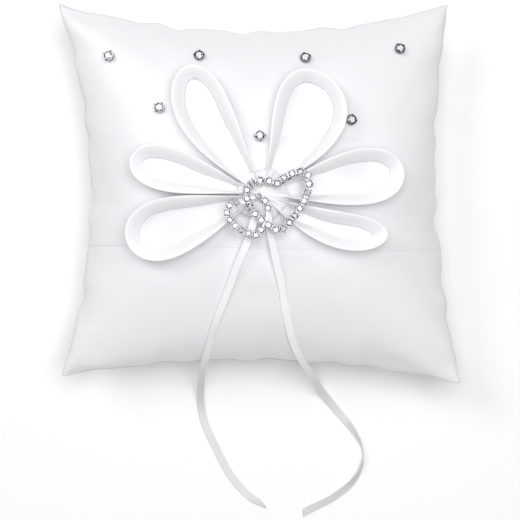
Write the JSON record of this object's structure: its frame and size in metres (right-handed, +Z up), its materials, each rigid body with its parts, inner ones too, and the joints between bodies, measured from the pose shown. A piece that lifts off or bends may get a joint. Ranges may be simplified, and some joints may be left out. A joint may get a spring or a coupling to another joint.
{
  "type": "ring bearer pillow",
  "caption": "Square white satin cushion with a sash, a looped ribbon bow, rhinestone hearts and two thin ribbons for tying rings.",
  "frame": {"origin": "on the table, under the middle of the cushion, which lies on its back", "axes": "+Z up out of the decorated face, +X to the right, +Y towards the back edge; the tie ribbons leave over the front edge towards -Y"},
  "size_m": [0.1974, 0.2555, 0.0699],
  "materials": {
    "cover_satin": "satin",
    "sash_satin": "satin",
    "ribbon_satin": "satin",
    "tie_satin": "satin",
    "fibre_fill": "matte",
    "thread": "matte",
    "silver_metal": "polished",
    "rhinestone": "polished"
  },
  "bodies": {
    "root": {"back_cover": "cover_satin", "front_cover": "cover_satin", "fibre_fill": "fibre_fill", "edge_seam_thread": "thread", "sash": "sash_satin", "bow_loop_upper_left": "ribbon_satin", "bow_loop_upper_right": "ribbon_satin", "bow_loop_left": "ribbon_satin", "bow_loop_lower_left": "ribbon_satin", "bow_loop_right": "ribbon_satin", "bow_loop_lower_right": "ribbon_satin", "bow_centre": "ribbon_satin", "gather_thread": "thread", "tie_ribbon_left": "tie_satin", "tie_ribbon_right": "tie_satin", "large_heart_frame": "silver_metal", "large_heart_stones": "rhinestone", "small_heart_frame": "silver_metal", "small_heart_stones": "rhinestone", "brooch_shank": "silver_metal", "crystal_cup_1": "silver_metal", "crystal_cup_2": "silver_metal", "crystal_cup_3": "silver_metal", "crystal_cup_4": "silver_metal", "crystal_cup_5": "silver_metal", "crystal_cup_6": "silver_metal", "crystal_cup_7": "silver_metal", "crystal_1": "rhinestone", "crystal_2": "rhinestone", "crystal_3": "rhinestone", "crystal_4": "rhinestone", "crystal_5": "rhinestone", "crystal_6": "rhinestone", "crystal_7": "rhinestone"}
  },
  "joints": []
}
